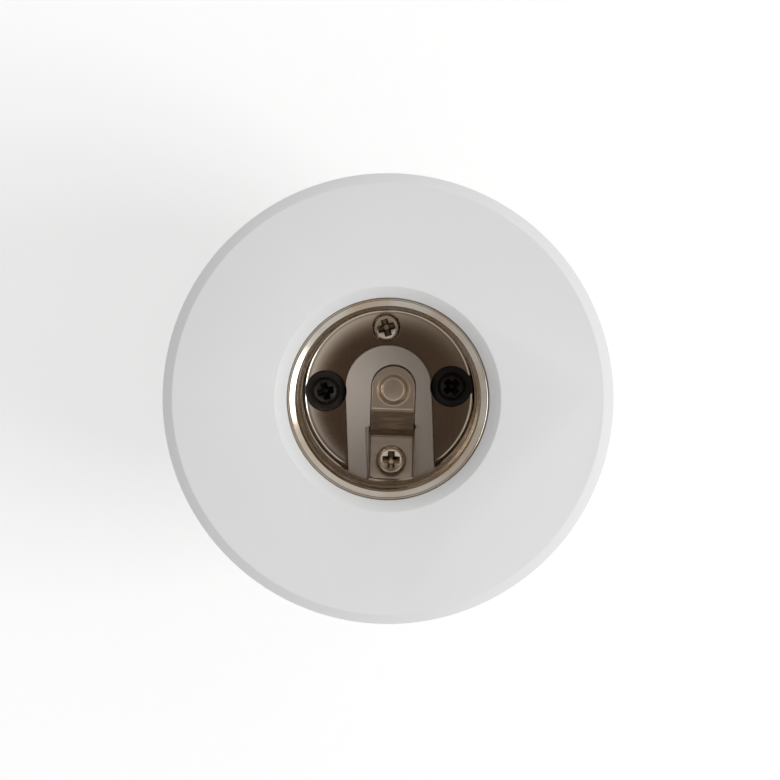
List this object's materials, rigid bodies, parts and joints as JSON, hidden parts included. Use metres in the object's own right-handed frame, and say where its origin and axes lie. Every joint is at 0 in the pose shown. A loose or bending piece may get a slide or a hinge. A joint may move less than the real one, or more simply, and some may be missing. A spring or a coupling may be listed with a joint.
{
  "type": "smart lamp socket",
  "caption": "White round lamp socket adapter with a screw shell, sprung centre contact and screw cap, switched by a radio module inside.",
  "frame": {"origin": "on the axis, in the plane where the metal cap leaves the white housing", "axes": "+Z along the axis and out of the socket's mouth; -Y towards the pairing button; the picture looks down -Z with +Y up"},
  "size_m": [0.064, 0.0649, 0.1025],
  "materials": {
    "white_plastic": "smooth moulded, half gloss",
    "nickel_plate": "nickel plated sheet, drawn and rolled",
    "spring_nickel": "nickel plated spring strip",
    "steel_screw": "zinc plated steel",
    "black_screw": "black oxide",
    "block_plastic": "moulded thermoset, pale grey",
    "brass_bush": "turned brass",
    "cap_insulator": "black insulating plug",
    "solder_tin": "tinned contact",
    "board_green": "solder mask on glass board",
    "relay_case": "moulded case",
    "winding_tape": "taped winding with dark core",
    "film_case": "dipped case",
    "can_sleeve": "shrink sleeve",
    "varistor_coat": "dipped coating",
    "fuse_coat": "lacquered body",
    "chip_black": "moulded package",
    "shield_can": "tinned shield can",
    "clear_plastic": "clear moulded",
    "light_body": "white light body",
    "wire_red": "insulated wire",
    "wire_black": "insulated wire"
  },
  "bodies": {
    "housing": {"top_cover": "white_plastic", "lower_housing": "white_plastic", "socket_shell": "nickel_plate", "contact_block": "block_plastic", "contact_screw": "steel_screw", "shell_screw": "steel_screw", "live_terminal": "brass_bush", "neutral_terminal": "brass_bush", "fixing_screws": "black_screw", "cap_shell": "nickel_plate", "cap_insulator": "cap_insulator", "cap_contact": "solder_tin", "circuit_board": "board_green", "relay": "relay_case", "film_capacitor": "film_case", "bridge_rectifier": "chip_black", "smoothing_capacitor": "can_sleeve", "output_capacitor": "can_sleeve", "fuse_resistor": "fuse_coat", "transformer": "winding_tape", "varistor": "varistor_coat", "radio_module": "shield_can", "tact_switch": "chip_black", "light_pipe": "clear_plastic", "status_light": "light_body", "cap_live_wire": "wire_red", "socket_live_wire": "wire_red", "socket_neutral_wire": "wire_black", "cap_neutral_wire": "wire_black"},
    "contact_leaf": {"centre_contact": "spring_nickel"},
    "button": {"pair_button": "white_plastic", "switch_plunger": "chip_black"}
  },
  "joints": [
    {"name": "contact_flex", "type": "hinge", "parent": "housing", "child": "contact_leaf", "pos_m": [0.00026, -0.00641, 0.04727], "axis": [-0.9977, 0.068, 0], "range_deg": [0, 7], "stiffness_Nm_per_rad": 0.3, "deforming": ["centre_contact"]},
    {"name": "button_press", "type": "slide", "parent": "housing", "child": "button", "axis": [0, 1, 0], "range_m": [0, 0.0007], "stiffness_N_per_m": 3000}
  ]
}
